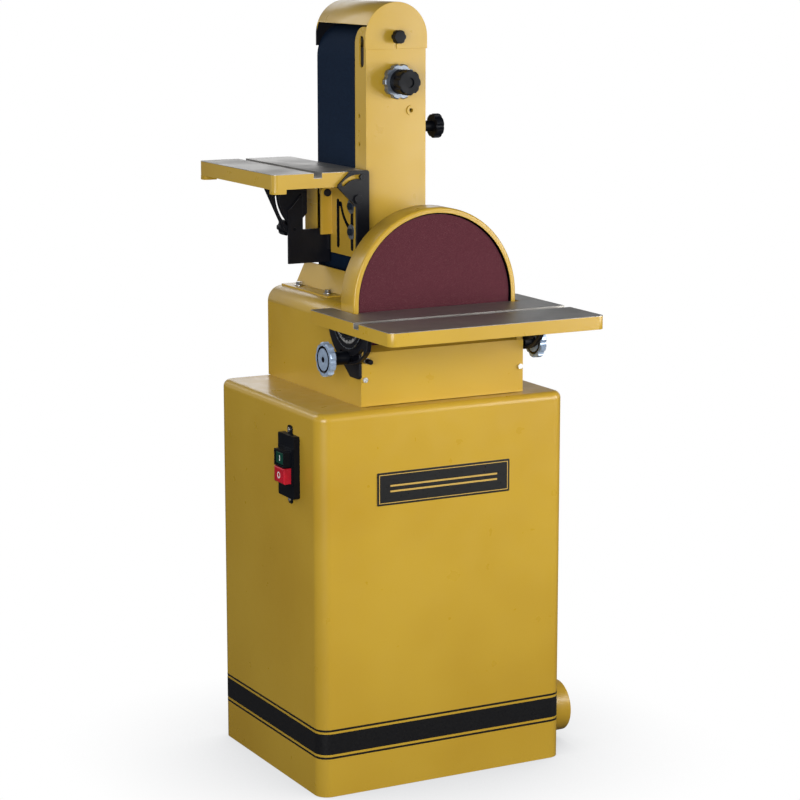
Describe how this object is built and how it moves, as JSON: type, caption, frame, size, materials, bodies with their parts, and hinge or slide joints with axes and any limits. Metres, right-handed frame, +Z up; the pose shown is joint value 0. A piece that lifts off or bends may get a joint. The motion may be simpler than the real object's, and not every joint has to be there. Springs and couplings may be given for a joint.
{
  "type": "belt disc sander",
  "caption": "Floor-standing combination sander: tilting upright abrasive belt and a round sanding disc on one spindle, each with a tilting mitre-slot table, over a closed cabinet.",
  "frame": {"origin": "centre of the cabinet footprint, on the floor", "axes": "+Z up, the disc faces -Y, the exposed belt run faces -X"},
  "size_m": [0.5866, 0.6923, 1.394],
  "materials": {
    "yellow_paint": "semi-gloss machine enamel, light orange peel",
    "table_iron": "ground top, painted skirt",
    "bright_steel": "zinc plated or turned",
    "cast_grey": "as cast, grey primer",
    "drum_aluminium": "turned",
    "polished_wheel": "polished",
    "black_iron": "black enamel",
    "black_plastic": "moulded phenolic",
    "green_plastic": "moulded",
    "red_plastic": "moulded",
    "name_black": "black plate with a yellow border",
    "maroon_abrasive": "coated abrasive",
    "belt_abrasive": "coated abrasive",
    "belt_rubber": "moulded rubber",
    "motor_enamel": "dark grey enamel",
    "scale_white": "white print on black"
  },
  "bodies": {
    "base": {"cabinet_shell": "yellow_paint", "cabinet_floor": "yellow_paint", "rear_access_panel": "yellow_paint", "name_plate": "name_black", "dust_port": "yellow_paint", "switch_box": "black_plastic", "motor_case": "motor_enamel", "motor_mounting_plate": "cast_grey", "drive_v_belt": "belt_rubber", "spindle_bearings": "bright_steel", "bearing_housing": "cast_grey", "arm_retaining_collar": "black_iron", "base_housing": "yellow_paint", "front_panel": "yellow_paint", "index_collar": "bright_steel", "disc_guard": "yellow_paint", "pulley_cover": "yellow_paint", "dust_deflector": "yellow_paint", "trunnion_brackets": "black_iron", "panel_screws": "bright_steel", "base_bolts": "bright_steel"},
    "start_button": {"start_button": "green_plastic"},
    "stop_button": {"stop_button": "red_plastic"},
    "index_pin": {"index_pin": "black_plastic"},
    "spindle": {"spindle_shaft": "bright_steel", "spindle_pulley": "cast_grey", "disc_plate": "drum_aluminium", "abrasive_disc": "maroon_abrasive", "drive_drum": "drum_aluminium"},
    "motor_rotor": {"motor_rotor": "bright_steel", "motor_pulley": "cast_grey"},
    "disc_table": {"disc_table": "table_iron", "disc_table_trunnions": "black_iron", "angle_scale": "scale_white"},
    "left_lock": {"left_lock_wheel": "polished_wheel", "left_lock_screw": "black_plastic"},
    "right_lock": {"right_lock_wheel": "polished_wheel", "right_lock_screw": "black_plastic"},
    "arm": {"arm_frame": "yellow_paint", "platen": "bright_steel", "arm_bolts": "bright_steel", "abrasive_belt": "belt_abrasive", "tension_spring": "bright_steel", "return_cover": "yellow_paint"},
    "idler_carriage": {"idler_carriage": "black_iron", "idler_shaft": "bright_steel", "idler_bearings": "bright_steel"},
    "idler": {"idler_drum": "drum_aluminium"},
    "tension_wheel": {"tension_handwheel": "polished_wheel"},
    "tracking_knob": {"tracking_knob": "black_plastic"},
    "guard_knob": {"guard_knob": "black_plastic"},
    "cover_knob": {"cover_knob": "black_plastic"},
    "top_guard": {"top_guard": "yellow_paint"},
    "table_bracket": {"slotted_bracket": "yellow_paint", "front_trunnion_plate": "black_iron", "rear_support_plate": "black_iron"},
    "belt_table": {"belt_table": "table_iron", "table_tilt_pins": "black_iron", "table_gusset": "black_iron"},
    "table_lock": {"belt_table_lock_knob": "black_plastic"}
  },
  "joints": [
    {"name": "spindle_spin", "type": "hinge", "parent": "base", "child": "spindle", "pos_m": [0.0116, 0, 0.8731], "axis": [0, 1, 0], "continuous": true},
    {"name": "motor_spin", "type": "hinge", "parent": "base", "child": "motor_rotor", "pos_m": [0.0116, 0, 0.33], "axis": [0, 1, 0], "continuous": true},
    {"name": "arm_tilt", "type": "hinge", "parent": "base", "child": "arm", "pos_m": [0.0116, 0, 0.8731], "axis": [0, 1, 0], "range_deg": [0, 90]},
    {"name": "disc_table_tilt", "type": "hinge", "parent": "base", "child": "disc_table", "pos_m": [0, -0.158, 0.858], "axis": [1, 0, 0], "range_deg": [-15, 45]},
    {"name": "left_lock_turn", "type": "hinge", "parent": "base", "child": "left_lock", "pos_m": [-0.2, -0.15, 0.782], "axis": [1, 0, 0], "range_deg": [-180, 180]},
    {"name": "right_lock_turn", "type": "hinge", "parent": "base", "child": "right_lock", "pos_m": [0.2, -0.15, 0.782], "axis": [1, 0, 0], "range_deg": [-180, 180]},
    {"name": "index_pin_pull", "type": "slide", "parent": "base", "child": "index_pin", "axis": [0, -1, 0], "range_m": [0, 0.006]},
    {"name": "start_press", "type": "slide", "parent": "base", "child": "start_button", "axis": [1, 0, 0], "range_m": [0, 0.004]},
    {"name": "stop_press", "type": "slide", "parent": "base", "child": "stop_button", "axis": [1, 0, 0], "range_m": [0, 0.004]},
    {"name": "tension_turn", "type": "hinge", "parent": "arm", "child": "tension_wheel", "pos_m": [0.0116, 0, 1.252], "axis": [0, 1, 0], "range_deg": [0, 180]},
    {"name": "idler_tension", "type": "slide", "parent": "arm", "child": "idler_carriage", "axis": [0, 0, 1], "range_m": [-0.012, 0], "deforming": ["tension_spring"]},
    {"name": "idler_spin", "type": "hinge", "parent": "idler_carriage", "child": "idler", "pos_m": [0.0116, 0, 1.29091], "axis": [0, 1, 0], "continuous": true},
    {"name": "tracking_turn", "type": "hinge", "parent": "arm", "child": "tracking_knob", "pos_m": [0.0116, 0, 1.252], "axis": [0, 1, 0], "range_deg": [-180, 180]},
    {"name": "guard_knob_turn", "type": "hinge", "parent": "arm", "child": "guard_knob", "pos_m": [0.009, 0, 1.332], "axis": [0, 1, 0], "range_deg": [-180, 180]},
    {"name": "cover_knob_turn", "type": "hinge", "parent": "arm", "child": "cover_knob", "pos_m": [0.1, 0.034, 1.166], "axis": [1, 0, 0], "range_deg": [-180, 180]},
    {"name": "top_guard_lift", "type": "slide", "parent": "arm", "child": "top_guard", "axis": [0, 0, 1], "range_m": [0, 0.02]},
    {"name": "belt_table_height", "type": "slide", "parent": "arm", "child": "table_bracket", "axis": [0, 0, 1], "range_m": [0, 0.028]},
    {"name": "belt_table_tilt", "type": "hinge", "parent": "table_bracket", "child": "belt_table", "pos_m": [-0.076, 0, 1.045], "axis": [0, -1, 0], "range_deg": [0, 45]},
    {"name": "belt_table_lock_turn", "type": "hinge", "parent": "table_bracket", "child": "table_lock", "pos_m": [-0.13, 0.16, 0.977], "axis": [0, 1, 0], "range_deg": [-180, 180]}
  ],
  "couplings": [
    {"joint": "motor_spin", "follows": "spindle_spin", "ratio": 0.82143},
    {"joint": "idler_spin", "follows": "spindle_spin", "ratio": 1},
    {"joint": "tension_turn", "follows": "idler_tension", "rad_per_m": -261.8}
  ]
}
